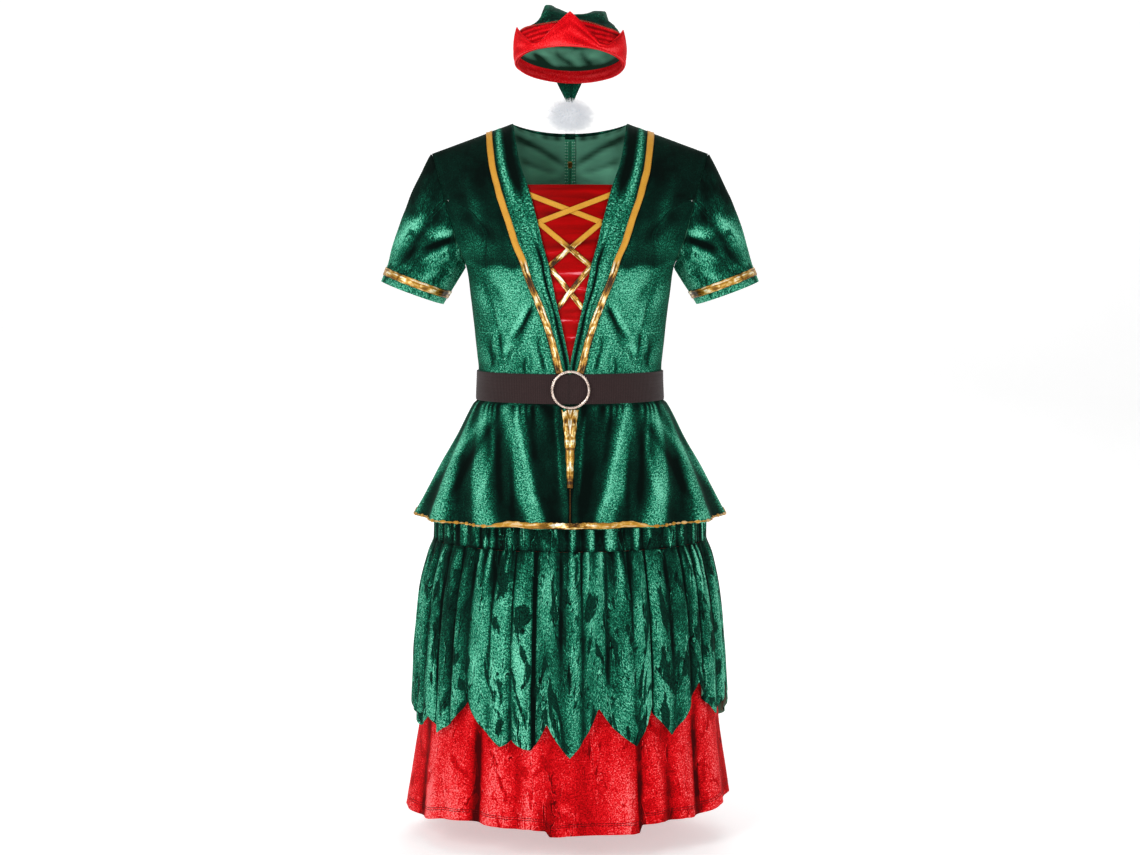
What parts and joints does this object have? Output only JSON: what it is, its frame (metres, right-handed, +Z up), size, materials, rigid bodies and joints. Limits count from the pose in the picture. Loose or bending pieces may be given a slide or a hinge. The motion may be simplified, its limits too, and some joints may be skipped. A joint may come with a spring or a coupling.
{
  "type": "elf costume",
  "caption": "Elf costume worn on no visible figure: laced short-sleeved dress with belt, peplum and two-layer zigzag skirt, and its pointed hat with a pompom",
  "frame": {"origin": "midway between the two points where the shoulder seams meet the neck, where the wearer's shoulders hold the dress up", "axes": "+Z up, the front faces -Y, +X to the right as seen from the front"},
  "size_m": [0.546, 0.3493, 1.1746],
  "materials": {
    "green_velvet": "crushed velvet, soft sheen",
    "red_velvet": "velvet, soft sheen",
    "red_satin": "satin",
    "gold_ribbon": "metallic woven ribbon",
    "brown_elastic": "ribbed elastic",
    "pale_metal": "bright pale gold plate",
    "zip_tape": "woven polyester tape",
    "brass": "worn brass",
    "white_fur": "long faux fur"
  },
  "bodies": {
    "garment": {"bodice_front_left": "green_velvet", "bodice_front_right": "green_velvet", "bodice_side_left": "green_velvet", "bodice_side_right": "green_velvet", "bodice_back_left": "green_velvet", "bodice_back_right": "green_velvet", "collar_left": "green_velvet", "collar_right": "green_velvet", "sleeve_left": "green_velvet", "sleeve_right": "green_velvet", "peplum_front_left": "green_velvet", "peplum_front_right": "green_velvet", "peplum_back": "green_velvet", "skirt_casing_front": "green_velvet", "skirt_casing_back": "green_velvet", "overskirt_front": "green_velvet", "overskirt_back": "green_velvet", "hat_crown": "green_velvet", "underskirt_front": "red_velvet", "underskirt_back": "red_velvet", "hat_band": "red_velvet", "hat_cuff": "red_velvet", "insert": "red_satin", "lacing_a": "gold_ribbon", "lacing_b": "gold_ribbon", "collar_ribbon_left": "gold_ribbon", "collar_ribbon_right": "gold_ribbon", "sleeve_ribbon_left": "gold_ribbon", "sleeve_ribbon_right": "gold_ribbon", "peplum_ribbon_front": "gold_ribbon", "peplum_ribbon_back": "gold_ribbon", "front_ribbon_left": "gold_ribbon", "front_ribbon_right": "gold_ribbon", "belt": "brown_elastic", "belt_ring": "pale_metal", "zip_tape": "zip_tape", "zip_slider": "brass", "hat_pompom": "white_fur"},
    "zip_pull": {"zip_pull": "brass"}
  },
  "joints": [
    {"name": "zip_pull_swing", "type": "hinge", "parent": "garment", "child": "zip_pull", "pos_m": [0, 0.09429, -0.0544], "axis": [1, 0, 0], "range_deg": [0, 140]}
  ]
}
